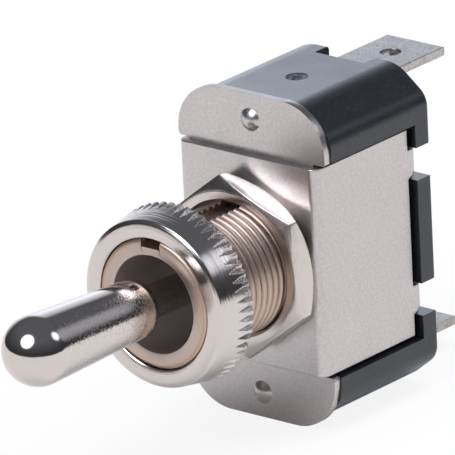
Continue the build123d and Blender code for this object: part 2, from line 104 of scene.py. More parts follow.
class BushingSizes(PropertyGroup):
    """Thread and keyway of the bushing."""

    major_radius: FloatProperty(
        name="Major radius", description="Radius over the thread's crests, in millimetres",
        default=5.95, min=1.0)
    pitch: FloatProperty(
        name="Pitch", description="Distance from crest to crest, 32 threads to the inch, in millimetres",
        default=0.794, min=0.1)
    depth: FloatProperty(
        name="Thread depth", description="Height of the worn and plated crests, in millimetres",
        default=0.38, min=0.0)
    keyway_width: FloatProperty(
        name="Keyway width", description="Width of the keyway at 12 o'clock, in millimetres",
        default=2.15, min=0.1)
    keyway_depth: FloatProperty(
        name="Keyway depth", description="Depth of the keyway below the crests, in millimetres",
        default=0.8, min=0.1)


class NutSizes(PropertyGroup):
    """Both nuts."""

    knurl_count: IntProperty(
        name="Knurl grooves", description="Number of straight grooves round the ring nut",
        default=57, min=12)
    knurl_length: FloatProperty(
        name="Knurl length", description="How far the grooves reach from the rear edge, in millimetres",
        default=1.86, min=0.1)
    knurl_runout: FloatProperty(
        name="Knurl run-out", description="Length over which the grooves reach full depth, in millimetres",
        default=1.1, min=0.1)
    knurl_depth: FloatProperty(
        name="Knurl depth", description="Full depth of the grooves, in millimetres",
        default=0.27, min=0.05)
    knurl_angle: FloatProperty(
        name="Knurl angle", description="Angle between the two sides of a groove",
        default=radians(94), subtype="ANGLE", unit="ROTATION")
    hex_turn: FloatProperty(
        name="Hex nut turn", description="How far the hex nut is turned from a flat at 3 o'clock",
        default=radians(8.2), subtype="ANGLE", unit="ROTATION")
    crown: FloatProperty(
        name="Hex nut crown", description="Slope of the hex nut's front outside its land",
        default=radians(16), subtype="ANGLE", unit="ROTATION")
    edge_radius: FloatProperty(
        name="Edge radius", description="Radius of the hex nut's broken edges, in millimetres",
        default=0.09, min=0.0)


class FinishColours(PropertyGroup):
    """Colours of the finishes."""

    bright_nickel: FloatVectorProperty(
        name="Bright nickel", description="Colour of the buffed and turned plate",
        subtype="COLOR", size=3, default=linear("D2C8C2"), min=0.0, max=1.0)
    worn_nickel: FloatVectorProperty(
        name="Worn nickel", description="Colour of the thin plate on the thread",
        subtype="COLOR", size=3, default=linear("C3B0A4"), min=0.0, max=1.0)
    satin_nickel: FloatVectorProperty(
        name="Satin nickel", description="Colour of the plate on the folded sheet",
        subtype="COLOR", size=3, default=linear("CFC8C5"), min=0.0, max=1.0)
    phenolic: FloatVectorProperty(
        name="Phenolic", description="Colour of the moulded base",
        subtype="COLOR", size=3, default=linear("17191E"), min=0.0, max=1.0)
    tin: FloatVectorProperty(
        name="Tin plate", description="Colour of the blades",
        subtype="COLOR", size=3, default=linear("C0BCB9"), min=0.0, max=1.0)


class ToggleSwitchSettings(PropertyGroup):
    """All settings of the switch."""

    bushing: PointerProperty(type=BushingSizes)
    nuts: PointerProperty(type=NutSizes)
    colours: PointerProperty(type=FinishColours)


# ---- Surfaces: all their sizes are in millimetres


def skin(points, wrap_rows=False):
    """Join a grid of points, rows by columns, into quads: corner (i, j) with (i+1, j+1).

    The last column joins the first, and with wrap_rows the last row joins the first too.
    """
    rows, columns = points.shape[:2]
    index = np.arange(rows * columns).reshape(rows, columns)
    if wrap_rows:
        index = np.vstack([index, index[:1]])
    index = np.hstack([index, index[:, :1]])
    quads = np.stack([index[:-1, :-1], index[:-1, 1:], index[1:, 1:], index[1:, :-1]], axis=-1)
    return points.reshape(-1, 3), quads.reshape(-1, 4)


def make_piece(name, points, quads, material, sharp=radians(35)):
    """Put millimetre points and quads into a closed, smooth-shaded object at the origin."""
    same_point, no_length = 2e-7, 1e-8
    mesh = bpy.data.meshes.new(name)
    mesh.from_pydata((points * MM).tolist(), [], quads.tolist())
    solid = bmesh.new()
    solid.from_mesh(mesh)
    bmesh.ops.remove_doubles(solid, verts=solid.verts, dist=same_point)
    bmesh.ops.dissolve_degenerate(solid, edges=solid.edges, dist=no_length)
    bmesh.ops.recalc_face_normals(solid, faces=solid.faces)
    solid.to_mesh(mesh)
    solid.free()
    mesh.shade_smooth()
    mesh.set_sharp_from_angle(angle=sharp)
    mesh.materials.append(material)
    piece = bpy.data.objects.new(name, mesh)
    bpy.context.scene.collection.objects.link(piece)
    return piece


def stand_in_for(piece, node, body):
    """Let a piece take a CAD node's place and body: the node is hidden and the piece hangs on the body's
    empty.
    """
    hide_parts(node)
    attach(piece, body)


def softened_copy(node, material, width):
    """Copy a CAD node, weld it, and round its edges by a width in millimetres."""
    same_point, same_plane, sharp = 1e-6, radians(0.6), radians(32)
    solid = bmesh.new()
    solid.from_mesh(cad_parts[node].data)
    bmesh.ops.remove_doubles(solid, verts=solid.verts, dist=same_point)
    bmesh.ops.dissolve_limit(
        solid, angle_limit=same_plane, verts=solid.verts, edges=solid.edges)
    mesh = bpy.data.meshes.new(node + "_finished")
    solid.to_mesh(mesh)
    solid.free()
    mesh.shade_smooth()
    mesh.materials.append(material)
    piece = bpy.data.objects.new(node + "_finished", mesh)
    bpy.context.scene.collection.objects.link(piece)
    edges = piece.modifiers.new("Broken edges", "BEVEL")
    edges.width = width * MM
    edges.segments = 3
    edges.limit_method = "ANGLE"
    edges.angle_limit = sharp
    edges.use_clamp_overlap = True
    flats = piece.modifiers.new("Flat faces stay flat", "WEIGHTED_NORMAL")
    flats.keep_sharp = True
    return piece


def ring_points(radius, y, angle):
    """Points at a radius and an angle round the Y axis, from +X towards +Z."""
    radius, y, angle = np.broadcast_arrays(radius, y, angle)
    return np.stack([radius * np.cos(angle), y, radius * np.sin(angle)], axis=-1)


def lay_rows(*rows):
    """Stack rows of ring points, each (radius, y, angle), into one grid."""
    columns = max(np.size(part) for row in rows for part in row)
    return np.stack([ring_points(*[np.broadcast_to(part, columns) for part in row]) for row in rows])


def thread_height(y, angle, pitch, depth):
    """Depth below the crest: the cube of a triangle wave of y plus angle, so that crests are broad."""
    phase = (y / pitch + angle / TURN) % 1.0
    return depth * (2 * np.abs(phase - 0.5)) ** 3


def bushing_grid(sizes):
    """Thread with a keyway and a rounded end: columns follow the outline and the keyway.

    Round the thread a column stands at an angle, and its radius is the crest less the
    thread's depth there, or that of the quarter circle at the end where it is smaller.
    In the keyway the columns keep a fixed x and z instead.
    """
    rows, round_columns = 260, 216
    near_corner, inset = 0.96, 0.98
    end_radius, bore, mouth = 0.36, 4.465, 0.12
    spigot, staked_rim, plate_back = 5.2, 5.85, 1.6
    front, back = node_span("bushing", 1)
    half_key = sizes.keyway_width / 2
    floor = sizes.major_radius - sizes.keyway_depth
    edge = asin(half_key / sizes.major_radius)
    corner = atan2(half_key, floor)
    round_angle = np.linspace(pi / 2 + edge, pi / 2 - edge + TURN, round_columns)
    inner_angle = np.linspace(pi / 2 + corner, pi / 2 - corner + TURN, round_columns)
    key_x = half_key * np.array([1.0, near_corner, 0.0, -near_corner, -1.0])
    key_inner = pi / 2 + TURN - np.arctan(key_x / floor) * inset
    y = np.linspace(0.0, front, rows)[:, None]
    depth = thread_height(y, round_angle[None, :], sizes.pitch, sizes.depth)
    rise = np.clip(end_radius - (y - front), 0.0, end_radius)
    rounded = sizes.major_radius - end_radius + np.sqrt(end_radius ** 2 - rise ** 2)
    outside = ring_points(np.minimum(sizes.major_radius - depth, rounded), y, round_angle[None, :])
    key = np.stack(np.broadcast_arrays(key_x[None, :], y, floor), axis=-1)
    thread = np.concatenate([outside, key], axis=1)
    angle = np.concatenate([inner_angle, key_inner])
    inside = lay_rows(
        (bore + mouth, front, angle),
        (bore + mouth / 4, front + mouth / 4, angle),
        (bore, front + mouth, angle),
        (bore, back, angle),
        (spigot, back, angle),
        (staked_rim, plate_back, angle),
        (spigot, plate_back, angle),
        (spigot, 0.0, angle),
    )
    return np.concatenate([thread, inside])


def ring_nut_grid(sizes):
    """Cone with a bevelled front and V grooves that deepen along a run-out and then follow the cone.

    The outside radius is the lower of the cone's radius and the groove's: the radius
    of its root plus the distance round the nut from the groove's middle, over the
    tangent of half the groove's angle. The first three rows step in, as the rear edge is broken.
    """
    top, taper, steps = 8.2, 0.162, 12
    rear_break = np.array([[0.15], [0.09], [0.04]])
    bevel_outside, bevel_inside, bevel_length = 7.6, 7.16, 0.19
    bore, bore_break = 6.0, 0.1
    front, rear = node_span("ring_nut", 1)
    start = rear - sizes.knurl_length
    pitch = TURN * top / sizes.knurl_count
    slope = 1 / tan(sizes.knurl_angle / 2)
    angle = pi / 2 + np.linspace(0.0, TURN, sizes.knurl_count * steps, endpoint=False)
    offset = np.abs(((angle - pi / 2) * sizes.knurl_count / TURN + 0.5) % 1.0 - 0.5)
    # Rows lie close together along the grooves and wide apart on the plain cone
    y = np.concatenate([
        [rear, rear - 0.07],
        np.linspace(rear - 0.12, start - 0.05, 44),
        np.linspace(start - 0.2, front + 0.24, 8),
    ])
    cone = top - taper * (rear - y)
    depth = np.minimum((y - start) / sizes.knurl_runout, 1.0) * sizes.knurl_depth
    groove = (cone - depth)[:, None] + offset[None, :] * pitch * slope
    radius = np.minimum(cone[:, None], groove)
    radius[:3] -= rear_break
    outside = ring_points(radius, y[:, None], angle[None, :])
    inside = lay_rows(
        (bevel_outside, front + bevel_length, angle),
        (bevel_outside - 0.03, front + bevel_length - 0.03, angle),
        (bevel_inside + 0.06, front + 0.02, angle),
        (bevel_inside, front, angle),
        (bore + 0.12, front, angle),
        (bore + 0.08, front + 0.02, angle),
        (bore, front + bore_break, angle),
        (bore, rear - bore_break, angle),
        (bore + bore_break, rear, angle),
    )
    return np.concatenate([outside, inside])


def hexagon(half, turn, corner_radius):
    """Hexagon outline with rounded corners: straight flats joined by short arcs, as radius and angle."""
    lean = radians(30)
    flat = np.linspace(-0.5, 0.5, 25)
    side = 2 * (half / sqrt(3)) - 2 * corner_radius * tan(lean)
    arc = np.linspace(-lean, lean, 7)[1:-1]
    centre = (half - corner_radius) / cos(lean)
    x = np.full(flat.size, half)
    z = flat * side
    corner_x = centre * cos(lean) + corner_radius * np.cos(arc + lean)
    corner_z = centre * sin(lean) + corner_radius * np.sin(arc + lean)
    x = np.concatenate([x, corner_x])
    z = np.concatenate([z, corner_z])
    facets = np.arange(6)[:, None] * TURN / 6
    radius = np.tile(np.hypot(x, z), 6)
    angle = (np.arctan2(z, x)[None, :] + facets).ravel() + turn
    return radius, angle


def hex_nut_grid(sizes):
    """Hexagon whose rear corners a 45 degree cone cuts, with a flat land round its front opening.

    Outside the land the front slopes back, by the tangent of the crown's angle times the
    distance beyond the land.
    """
    half, corner_radius, land = 7.3, 0.14, 6.95
    bore, sink = 6.0, 0.3
    front, rear = node_span("hex_nut", 1)
    radius, angle = hexagon(half, sizes.hex_turn, corner_radius)
    edge = sizes.edge_radius
    slope = front + (radius - land) * tan(sizes.crown)
    cut = rear - (radius - land)
    # Three points round each broken edge, by shares of its radius
    return lay_rows(
        (radius - edge, slope - edge * 0.2, angle),
        (radius - edge * 0.3, slope + edge * 0.3, angle),
        (radius, slope + edge, angle),
        (radius, cut - edge * 0.4, angle),
        (radius - edge * 0.12, cut + edge * 0.1, angle),
        (radius - edge * 0.5, cut + edge * 0.5, angle),
        (land, rear, angle),
        (bore + sink, rear, angle),
        (bore, rear - sink, angle),
        (bore, front + sink, angle),
        (bore + 0.27, front + 0.03, angle),
        (bore + 0.31, front, angle),
        (land - 0.03, front, angle),
        (land + 0.03, front + 0.01, angle),
    )


def lever_profile():
    """Half outline of the lever, as radius against distance from the pivot towards the tip.

    Tip arc, straight taper, quarter ellipse to the neck, ball arc, tail and spring bore.
    """
    tip_radius, tip = 3.17, 30.3
    rim_radius, rim = 2.66, 14.7
    back, neck, ball = 13.3, 1.5, 4.2
    tail, tail_end, tail_break = 2.3, -8.6, 0.1
    bore, bore_floor = 1.65, -2.2
    centre = tip - tip_radius
    lean = atan2(centre - rim, rim_radius) - acos(tip_radius / hypot(rim_radius, centre - rim))
    arc = np.linspace(pi / 2, -lean, 40)
    taper = np.linspace(0.0, 1.0, 40)[1:, None]
    turn = np.linspace(0.0, pi / 2, 18)[1:]
    tip_arc = np.stack([tip_radius * np.cos(arc), centre + tip_radius * np.sin(arc)], axis=1)
    straight = tip_arc[-1] + taper * (np.array([rim_radius, rim]) - tip_arc[-1])
    rounded = np.stack([
        neck + (rim_radius - neck) * np.cos(turn), rim - (rim - back) * np.sin(turn)], axis=1)
    sphere = np.linspace(acos(neck / ball), -acos(tail / ball), 30)
    ball_arc = np.stack([ball * np.cos(sphere), ball * np.sin(sphere)], axis=1)
    end = np.array([
        [tail, tail_end + tail_break], [tail - tail_break, tail_end],
        [bore, tail_end], [bore, bore_floor], [0.0, bore_floor]])
    return np.concatenate([tip_arc, straight, rounded, ball_arc, end])


def lever_points(radius, reach, angle, tilt):
    """Points of the lever: its axis leaves the pivot towards -Y and is tilted up by an angle."""
    x = radius * np.cos(angle)
    up = radius * np.sin(angle)
    y = -PIVOT_SETBACK - reach * cos(tilt) + up * sin(tilt)
    z = reach * sin(tilt) + up * cos(tilt)
    return np.stack(np.broadcast_arrays(x, y, z), axis=-1)


def coil_grid(tilt):
    """Round wire carried along a helix about the lever's axis, drawn to a point at both ends.

    A point's distance along the axis and from it are the helix's, plus the wire's radius
    times the sine and the cosine of the angle round the wire.
    """
    start, end = 2.4, 5.6
    radius, wire, turns = 1.25, 0.2, 5.0
    along = np.linspace(0.0, 1.0, 240)[:, None]
    around = np.linspace(0.0, TURN, 12, endpoint=False)[None, :]
    swell = np.full(along.shape, wire)
    swell[0] = swell[-1] = 0.0
    sweep = along * turns * TURN
    reach = start + (end - start) * along + swell * np.sin(around)
    return lever_points(radius + swell * np.cos(around), -reach, sweep, tilt)


# ---- Materials: one pixel of the photograph is 0.09 mm, so no pattern is drawn finer than 0.1 mm


def add(tree, kind, inputs=None, output=None, **settings):
    """Add one node with its settings, values and incoming links, and give it or one of its outputs.

    What isn't named keeps the node's default, such as a noise's detail of 2 and roughness of
    0.5, a bump's strength of 1 and a map range's ends of 0 and 1.
    """
    node = tree.nodes.new(kind)
    for key, value in settings.items():
        setattr(node, key, value)
    for key, value in (inputs or {}).items():
        if isinstance(value, NodeSocket):
            tree.links.new(value, node.inputs[key])
        else:
            node.inputs[key].default_value = value
    return node.outputs[output] if output else node


def new_material(name):
    """Empty node material and its node tree."""
    material = bpy.data.materials.new(name)
    material.use_nodes = True
    material.node_tree.nodes.clear()
    return material, material.node_tree


def turning_place(tree):
    """Distance from the Y axis and place along it, so that a pattern forms rings."""
    place = add(tree, "ShaderNodeTexCoord", output="Object")
    split = add(tree, "ShaderNodeSeparateXYZ", {"Vector": place})
    across = add(tree, "ShaderNodeCombineXYZ", {
        "X": split.outputs["X"], "Y": split.outputs["Z"]}, "Vector")
    radius = add(tree, "ShaderNodeVectorMath", {0: across}, "Value", operation="LENGTH")
    return add(tree, "ShaderNodeCombineXYZ", {"X": radius, "Y": split.outputs["Y"]}, "Vector")


def buffed_nickel(colour):
    """Bright nickel plate over brass, turned and then buffed on a wheel.

    It gives the eye a mirror, with dull grains on the right side behind the tip, where
    handling has worn it. The real grains are about 0.05 mm and are drawn coarser to show.
    """
    grain_size, grain_depth = 0.2 * MM, 0.007 * MM
    tip_start, tip_end = -30 * MM, -28 * MM
    side_start, side_end = 0.0, 1.5 * MM
    material, tree = new_material("Buffed bright nickel")
    place = add(tree, "ShaderNodeTexCoord", output="Object")
    split = add(tree, "ShaderNodeSeparateXYZ", {"Vector": place})
    pebble = add(tree, "ShaderNodeTexNoise", {
        "Vector": place, "Scale": 1 / grain_size, "Roughness": 0.6}, "Fac")
    behind_tip = add(tree, "ShaderNodeMapRange", {
        "Value": split.outputs["Y"], "From Min": tip_start, "From Max": tip_end}, "Result")
    on_right = add(tree, "ShaderNodeMapRange", {
        "Value": split.outputs["X"], "From Min": side_start, "From Max": side_end}, "Result")
    handled = add(tree, "ShaderNodeMath", {0: behind_tip, 1: on_right}, "Value", operation="MULTIPLY")
    grain = add(tree, "ShaderNodeMath", {0: handled, 1: pebble}, "Value", operation="MULTIPLY")
    rough = add(tree, "ShaderNodeMapRange", {
        "Value": grain, "From Min": 0.42, "From Max": 0.7, "To Min": 0.09, "To Max": 0.36}, "Result")
    normal = add(tree, "ShaderNodeBump", {"Height": grain, "Distance": grain_depth}, "Normal")
    shader = add(tree, "ShaderNodeBsdfPrincipled", {
        "Base Color": (*colour, 1.0), "Metallic": 1.0, "Roughness": rough, "Normal": normal}, "BSDF")
    add(tree, "ShaderNodeOutputMaterial", {"Surface": shader})
    return material


def milled_nickel(colour):
    """Bright nickel plate over brass bar, milled on its flats and faced on a lathe.

    It gives the eye a bright face that fine tool rings and a faint haze make satin. The
    tool's real feed is about 0.1 mm and is drawn twice as coarse to show.
    """
    ring_size, ring_depth = 0.22 * MM, 0.011 * MM
    pebble_size, pebble_depth = 0.3 * MM, 0.002 * MM
    haze_size = 1.2 * MM
    material, tree = new_material("Milled bright nickel")
    place = add(tree, "ShaderNodeTexCoord", output="Object")
    rings = add(tree, "ShaderNodeTexNoise", {
        "Vector": turning_place(tree), "Scale": 1 / ring_size, "Detail": 3.0, "Roughness": 0.6}, "Fac")
    haze = add(tree, "ShaderNodeTexNoise", {
        "Vector": place, "Scale": 1 / haze_size, "Detail": 4.0}, "Fac")
    pebble = add(tree, "ShaderNodeTexNoise", {"Vector": place, "Scale": 1 / pebble_size}, "Fac")
    rough = add(tree, "ShaderNodeMapRange", {
        "Value": haze, "From Min": 0.3, "From Max": 0.7, "To Min": 0.16, "To Max": 0.24}, "Result")
    uneven = add(tree, "ShaderNodeBump", {"Height": pebble, "Distance": pebble_depth}, "Normal")
    normal = add(tree, "ShaderNodeBump", {
        "Height": rings, "Distance": ring_depth, "Normal": uneven}, "Normal")
    shader = add(tree, "ShaderNodeBsdfPrincipled", {
        "Base Color": (*colour, 1.0), "Metallic": 1.0, "Roughness": rough, "Normal": normal}, "BSDF")
    add(tree, "ShaderNodeOutputMaterial", {"Surface": shader})
    return material


def threaded_nickel(colour):
    """Thin nickel plate over brass whose thread was cut with a die.

    It gives the eye silvery crests, and tan grooves where the brass shows through, darkened further
    with painted warm shade for the light bounced between the flanks. The bore is dull and rough, and its
    paler colour is painted light. The die's marks are about 0.05 mm and are drawn coarser to show.
    """
    ring_size, ring_depth = 0.12 * MM, 0.006 * MM
    pit_size, pit_depth = 0.25 * MM, 0.006 * MM
    bore, past_bore = 4.55 * MM, 4.6 * MM
    below_root, root = 5.52 * MM, 5.58 * MM
    low_flank, crest = 5.6 * MM, 5.92 * MM
    material, tree = new_material("Thin nickel on cut brass")
    around = turning_place(tree)
    rings = add(tree, "ShaderNodeTexNoise", {
        "Vector": around, "Scale": 1 / ring_size, "Detail": 3.0, "Roughness": 0.6}, "Fac")
    pits = add(tree, "ShaderNodeTexNoise", {
        "Vector": add(tree, "ShaderNodeTexCoord", output="Object"), "Scale": 1 / pit_size,
        "Detail": 3.0, "Roughness": 0.6}, "Fac")
    radius = add(tree, "ShaderNodeSeparateXYZ", {"Vector": around}, "X")
    inside = add(tree, "ShaderNodeMapRange", {
        "Value": radius, "From Min": bore, "From Max": past_bore, "To Min": 1.0, "To Max": 0.0}, "Result")
    rough = add(tree, "ShaderNodeMapRange", {"Value": inside, "To Min": 0.4, "To Max": 0.55}, "Result")
    # Painted shade: between the thread's root and its crest, and at the end face's rim there, the colour
    # is mixed to a darker tan. It is partly the brass under the thin plate and partly painted warm shade
    # for the light bounced between the flanks.
    above_root = add(tree, "ShaderNodeMapRange", {
        "Value": radius, "From Min": below_root, "From Max": root}, "Result")
    below_crest = add(tree, "ShaderNodeMapRange", {
        "Value": radius, "From Min": low_flank, "From Max": crest, "To Min": 1.0, "To Max": 0.0}, "Result")
    groove = add(tree, "ShaderNodeMath", {0: above_root, 1: below_crest}, "Value", operation="MULTIPLY")
    worn = add(tree, "ShaderNodeMix", {
        "Factor": groove, "A": (*colour, 1.0), "B": (*linear("C09F84"), 1.0)}, "Result", data_type="RGBA")
    # Painted light: the bore takes a paler colour than the thread, which stands in for the light that
    # reaches in from the opening.
    shade = add(tree, "ShaderNodeMix", {
        "Factor": inside, "A": worn, "B": (*linear("CBC1BC"), 1.0)}, "Result", data_type="RGBA")
    pitted = add(tree, "ShaderNodeBump", {"Height": pits, "Distance": pit_depth}, "Normal")
    normal = add(tree, "ShaderNodeBump", {
        "Height": rings, "Distance": ring_depth, "Normal": pitted}, "Normal")
    shader = add(tree, "ShaderNodeBsdfPrincipled", {
        "Base Color": shade, "Metallic": 1.0, "Roughness": rough, "Normal": normal}, "BSDF")
    add(tree, "ShaderNodeOutputMaterial", {"Surface": shader})
    return material


def knurled_nickel(colour):
    """Bright nickel plate over turned and knurled brass.

    It gives the eye a bright cone whose highlights tool rings break into streaks, and burrs
    at the knurl's rear. The tool's real feed is about 0.1 mm and is drawn twice as coarse.
    """
    ring_size, ring_depth = 0.2 * MM, 0.035 * MM
    burr_size, burr_depth = 0.22 * MM, 0.07 * MM
    haze_size = 1.2 * MM
    burr_start, burr_full = -10.6 * MM, -10.1 * MM
    material, tree = new_material("Turned bright nickel")
    place = add(tree, "ShaderNodeTexCoord", output="Object")
    setback = add(tree, "ShaderNodeSeparateXYZ", {"Vector": place}, "Y")
    rings = add(tree, "ShaderNodeTexNoise", {
        "Vector": turning_place(tree), "Scale": 1 / ring_size, "Detail": 3.0, "Roughness": 0.7}, "Fac")
    haze = add(tree, "ShaderNodeTexNoise", {
        "Vector": place, "Scale": 1 / haze_size, "Detail": 4.0}, "Fac")
    burr = add(tree, "ShaderNodeTexNoise", {
        "Vector": place, "Scale": 1 / burr_size, "Roughness": 0.7}, "Fac")
    rear = add(tree, "ShaderNodeMapRange", {
        "Value": setback, "From Min": burr_start, "From Max": burr_full}, "Result")
    burred = add(tree, "ShaderNodeMath", {0: burr, 1: rear}, "Value", operation="MULTIPLY")
    rough = add(tree, "ShaderNodeMapRange", {
        "Value": haze, "From Min": 0.3, "From Max": 0.7, "To Min": 0.1, "To Max": 0.17}, "Result")
    streaked = add(tree, "ShaderNodeBump", {"Height": rings, "Distance": ring_depth}, "Normal")
    normal = add(tree, "ShaderNodeBump", {
        "Height": burred, "Distance": burr_depth, "Normal": streaked}, "Normal")
    shader = add(tree, "ShaderNodeBsdfPrincipled", {
        "Base Color": (*colour, 1.0), "Metallic": 1.0, "Roughness": rough, "Normal": normal}, "BSDF")
    add(tree, "ShaderNodeOutputMaterial", {"Surface": shader})
    return material


def satin_nickel(colour):
    """Satin nickel plate over cold rolled steel sheet, blanked and folded.

    It gives the eye soft broad highlights, a fine sandy grain with slightly darker specks,
    and a faint drawn-out grain from the rolls. The plate's real grain is under 0.02 mm and
    is drawn ten times as coarse to show.
    """
    grain_size, grain_depth = 0.2 * MM, 0.011 * MM
    rolled_size, rolled_depth = 0.6 * MM, 0.005 * MM
    cloud_size, speck_size, speck_shade = 2.5 * MM, 0.26 * MM, 0.84
    material, tree = new_material("Satin nickel on rolled steel")
    place = add(tree, "ShaderNodeTexCoord", output="Object")
    stretch = add(tree, "ShaderNodeMapping", {"Vector": place, "Scale": (6.0, 6.0, 0.5)}, "Vector")
    grain = add(tree, "ShaderNodeTexNoise", {"Vector": place, "Scale": 1 / grain_size}, "Fac")
    cloud = add(tree, "ShaderNodeTexNoise", {
        "Vector": place, "Scale": 1 / cloud_size, "Detail": 3.0}, "Fac")
    rolled = add(tree, "ShaderNodeTexNoise", {
        "Vector": stretch, "Scale": 1 / rolled_size, "Detail": 3.0}, "Fac")
    speck = add(tree, "ShaderNodeTexNoise", {"Vector": place, "Scale": 1 / speck_size}, "Fac")
    specked = add(tree, "ShaderNodeMapRange", {
        "Value": speck, "From Min": 0.3, "From Max": 0.7}, "Result")
    shade = add(tree, "ShaderNodeMix", {
        "Factor": specked, "A": (*colour, 1.0),
        "B": (*(speck_shade * c for c in colour), 1.0)}, "Result", data_type="RGBA")
    rough = add(tree, "ShaderNodeMapRange", {
        "Value": cloud, "From Min": 0.3, "From Max": 0.7, "To Min": 0.27, "To Max": 0.34}, "Result")
    drawn_out = add(tree, "ShaderNodeBump", {"Height": rolled, "Distance": rolled_depth}, "Normal")
    normal = add(tree, "ShaderNodeBump", {
        "Height": grain, "Distance": grain_depth, "Normal": drawn_out}, "Normal")
    shader = add(tree, "ShaderNodeBsdfPrincipled", {
        "Base Color": shade, "Metallic": 1.0, "Roughness": rough, "Normal": normal}, "BSDF")
    add(tree, "ShaderNodeOutputMaterial", {"Surface": shader})
    return material


def moulded_phenolic(colour):
    """Black phenolic, pressed in a blasted steel mould.

    It gives the eye a nearly black, sandy face with a soft cold sheen at low angles and
    small grey flecks of filler. Both end faces are burnished, as they slide in the mould,
    and less so towards the rear. The ejector marks on them, discs 7.4 mm behind the strap's
    front, stay rough and pitted, with painted glints: grey in their deeper pits stands in for
    their sparkle. The mould's grit is about 0.1 mm, drawn twice as coarse.
    """
    sand_size, sand_depth = 0.2 * MM, 0.02 * MM
    pit_size, pit_depth = 0.3 * MM, 0.25 * MM
    flow_size, fleck_size = 3.0 * MM, 0.25 * MM
    mark_setback, mark_radius, mark_edge = 7.4 * MM, 0.94 * MM, 1.0 * MM
    fade_start, fade_end = 2.0 * MM, 9.0 * MM
    material, tree = new_material("Moulded black phenolic")
    coordinates = add(tree, "ShaderNodeTexCoord")
    place = coordinates.outputs["Object"]
    setback = add(tree, "ShaderNodeSeparateXYZ", {"Vector": place}, "Y")
    facing = add(tree, "ShaderNodeSeparateXYZ", {"Vector": coordinates.outputs["Normal"]}, "Z")
    sand = add(tree, "ShaderNodeTexNoise", {
        "Vector": place, "Scale": 1 / sand_size, "Detail": 3.0, "Roughness": 0.6}, "Fac")
    flow = add(tree, "ShaderNodeTexNoise", {
        "Vector": place, "Scale": 1 / flow_size, "Detail": 3.0}, "Fac")
    pits = add(tree, "ShaderNodeTexNoise", {"Vector": place, "Scale": 1 / pit_size}, "Fac")
    fleck = add(tree, "ShaderNodeTexNoise", {"Vector": place, "Scale": 1 / fleck_size}, "Fac")

    # Ejector marks: discs round a vertical line, so one shows on each end face
    flat = add(tree, "ShaderNodeMapping", {
        "Vector": place, "Location": (0.0, -mark_setback, 0.0), "Scale": (1.0, 1.0, 0.0)}, "Vector")
    radius = add(tree, "ShaderNodeVectorMath", {0: flat}, "Value", operation="LENGTH")
    mark = add(tree, "ShaderNodeMapRange", {
        "Value": radius, "From Min": mark_radius, "From Max": mark_edge,
        "To Min": 1.0, "To Max": 0.0}, "Result")
    pitted = add(tree, "ShaderNodeMath", {0: mark, 1: pits}, "Value", operation="MULTIPLY")

    # Burnished end faces: those that look up or down, less their marks
    upright = add(tree, "ShaderNodeMath", {0: facing}, "Value", operation="ABSOLUTE")
    end_face = add(tree, "ShaderNodeMapRange", {
        "Value": upright, "From Min": 0.85, "From Max": 0.99}, "Result")
    fade = add(tree, "ShaderNodeMapRange", {
        "Value": setback, "From Min": fade_start, "From Max": fade_end,
        "To Min": 1.0, "To Max": 0.72}, "Result")
    slid = add(tree, "ShaderNodeMath", {0: end_face, 1: fade}, "Value", operation="MULTIPLY")
    polished = add(tree, "ShaderNodeMath", {
        0: slid, 1: mark}, "Value", operation="SUBTRACT", use_clamp=True)

    # Grey flecks of filler all over, and painted glints: grey in the deeper pits of the marks stands in
    # for their sparkle
    filler = add(tree, "ShaderNodeMapRange", {
        "Value": fleck, "From Min": 0.5, "From Max": 0.72, "To Min": 0.0, "To Max": 0.12}, "Result")
    painted_pit_glints = add(tree, "ShaderNodeMapRange", {"Value": pitted, "From Min": 0.47, "From Max": 0.6}, "Result")
    flecks_and_painted_glints = add(tree, "ShaderNodeMath", {0: filler, 1: painted_pit_glints}, "Value", operation="ADD", use_clamp=True)
    tint = add(tree, "ShaderNodeMix", {
        "Factor": flecks_and_painted_glints, "A": (*colour, 1.0), "B": (*linear("62666C"), 1.0)}, "Result", data_type="RGBA")

    clouded = add(tree, "ShaderNodeMapRange", {
        "Value": flow, "From Min": 0.3, "From Max": 0.7, "To Min": 0.32, "To Max": 0.38}, "Result")
    rough = add(tree, "ShaderNodeMath", {0: mark, 1: 0.4, 2: clouded}, "Value", operation="MULTIPLY_ADD")
    sandy = add(tree, "ShaderNodeBump", {"Height": sand, "Distance": sand_depth}, "Normal")
    normal = add(tree, "ShaderNodeBump", {
        "Height": pitted, "Distance": pit_depth, "Normal": sandy}, "Normal")
    shader = add(tree, "ShaderNodeBsdfPrincipled", {
        "Base Color": tint, "Roughness": rough, "IOR": 1.6, "Normal": normal,
        "Coat Weight": polished, "Coat Roughness": 0.2, "Coat IOR": 1.6,
        "Sheen Weight": 1.0, "Sheen Roughness": 0.2, "Sheen Tint": (*linear("E1F1FF"), 1.0)}, "BSDF")
    add(tree, "ShaderNodeOutputMaterial", {"Surface": shader})
    return material


